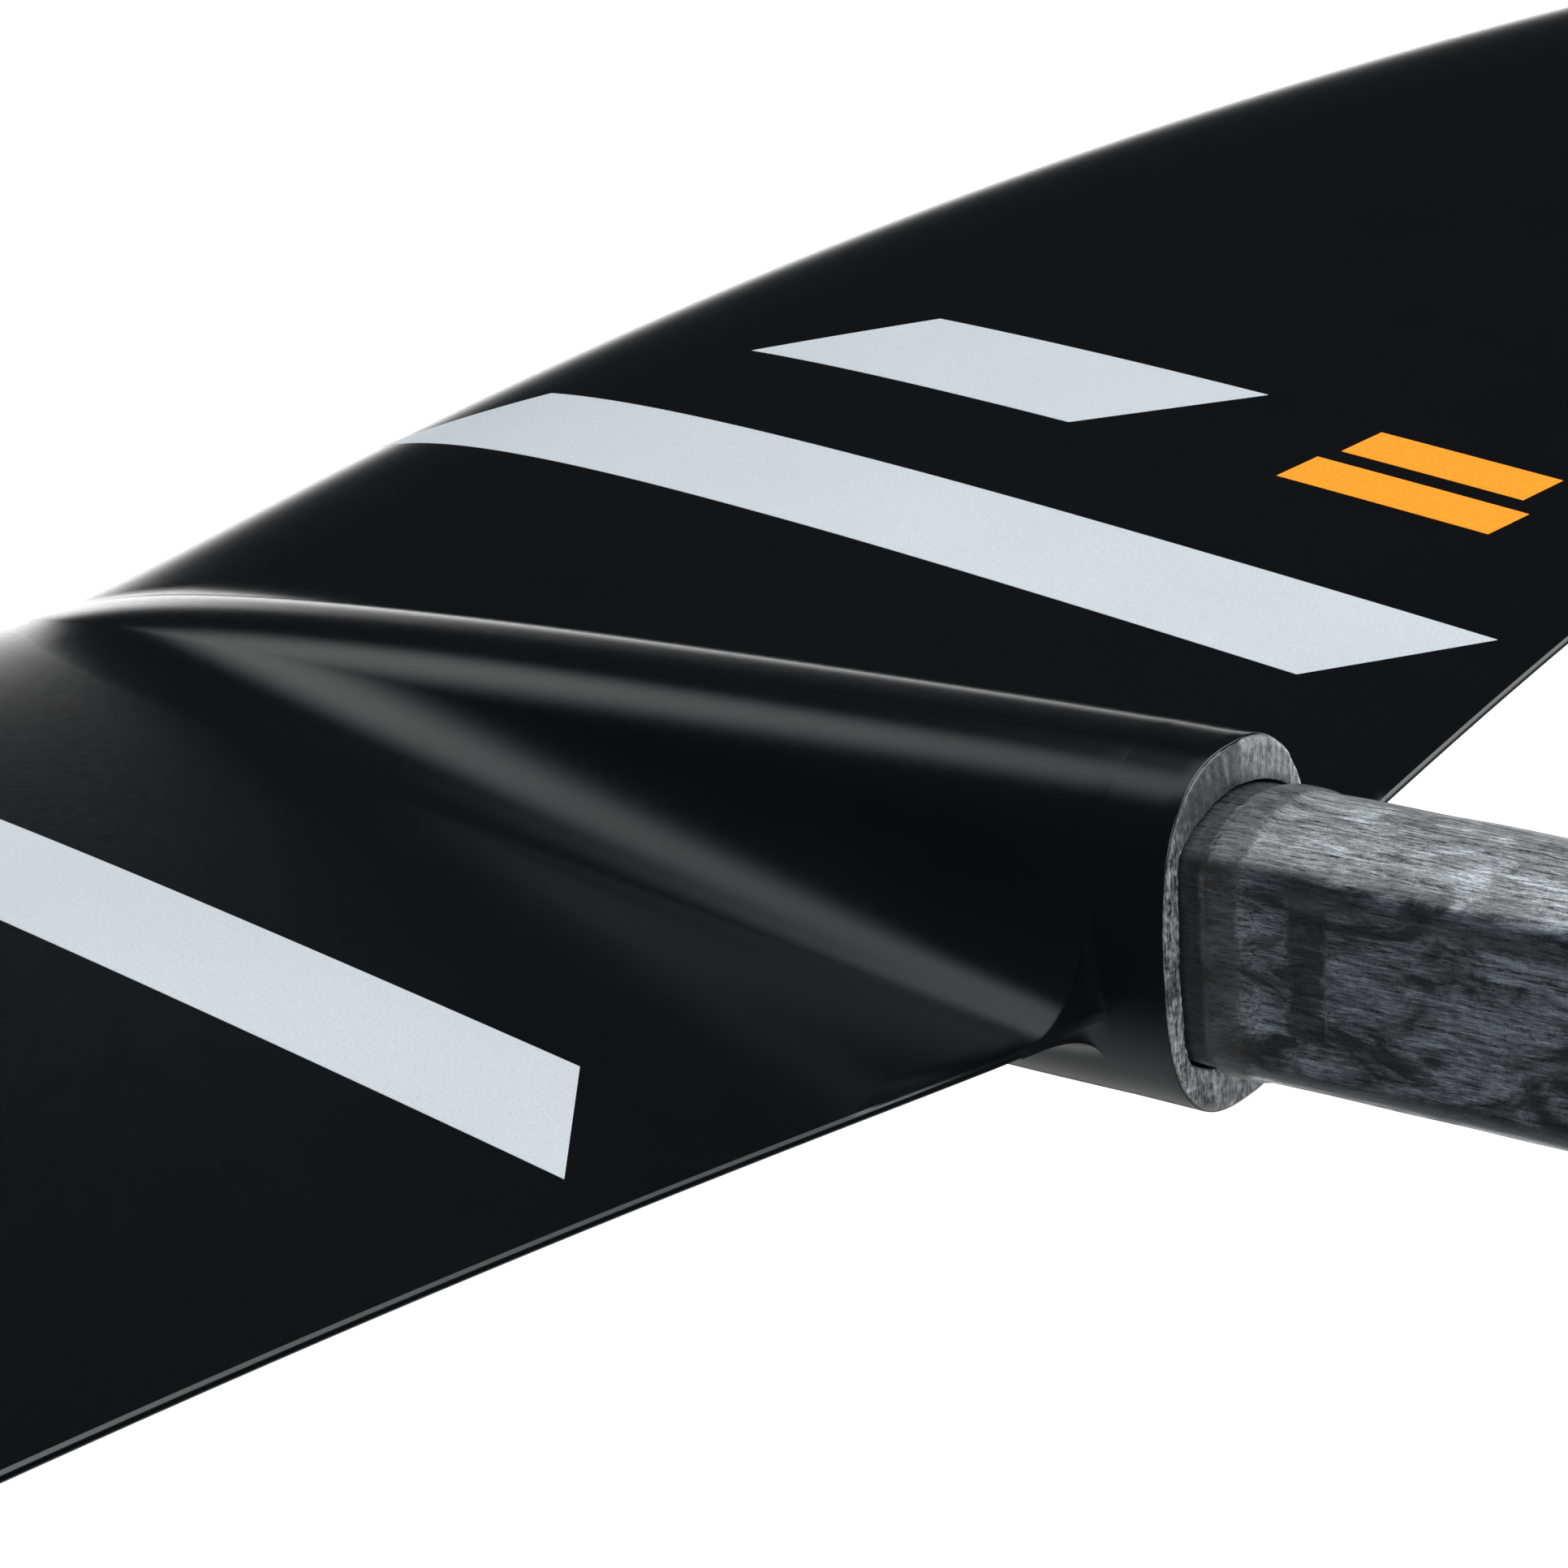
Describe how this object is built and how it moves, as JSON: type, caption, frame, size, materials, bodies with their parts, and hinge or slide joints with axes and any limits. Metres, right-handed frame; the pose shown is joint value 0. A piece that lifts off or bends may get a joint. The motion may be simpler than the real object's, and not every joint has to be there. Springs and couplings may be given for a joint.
{
  "type": "hydrofoil front wing",
  "caption": "Hydrofoil front wing with a smooth black swept blade, a nacelle rising from its middle and a raw carbon tongue behind it for the fuselage socket.",
  "frame": {"origin": "centre of the nacelle's flat aft face, where the tongue leaves it", "axes": "+Y aft along the tongue, +X to port, +Z out of the flatter side of the wing, which is the side that faces down when the wing is in use"},
  "size_m": [0.8364, 0.3034, 0.0733],
  "materials": {
    "black_paint": "satin gloss near-black paint over carbon",
    "silver_film": "fine metallic silver print, satin",
    "orange_film": "bright orange print",
    "raw_carbon": "raw sanded carbon laminate with grey dust in the scratches",
    "raw_laminate": "cut laminate edge with resin gloss",
    "laminate": "bare unidirectional carbon",
    "foam": "closed-cell structural foam",
    "filler": "dense glass-filled epoxy",
    "resin": "thickened epoxy",
    "insert_metal": "machined, anodised clear"
  },
  "bodies": {
    "root": {"upper_skin": "black_paint", "lower_skin": "black_paint", "nacelle_sleeve": "black_paint", "nose_core_port": "foam", "nose_core_starboard": "foam", "tail_core_port": "foam", "tail_core_starboard": "foam", "spar_web_port": "laminate", "spar_web_starboard": "laminate", "spar_cap_upper": "laminate", "spar_cap_lower": "laminate", "leading_edge_bead_port": "resin", "leading_edge_bead_starboard": "resin", "trailing_edge_strip_port": "resin", "trailing_edge_strip_starboard": "resin", "tip_block_port": "laminate", "tip_block_starboard": "laminate", "nacelle_core": "filler", "root_spar": "laminate", "end_collar": "raw_laminate", "tongue": "raw_carbon", "tongue_core": "filler", "tongue_end_cap": "resin", "shoulder_bead": "raw_carbon", "thread_inserts": "insert_metal", "long_stripe_port": "silver_film", "long_stripe_starboard": "silver_film", "short_stripe_port": "silver_film", "short_stripe_starboard": "silver_film", "size_mark": "orange_film"}
  },
  "joints": []
}
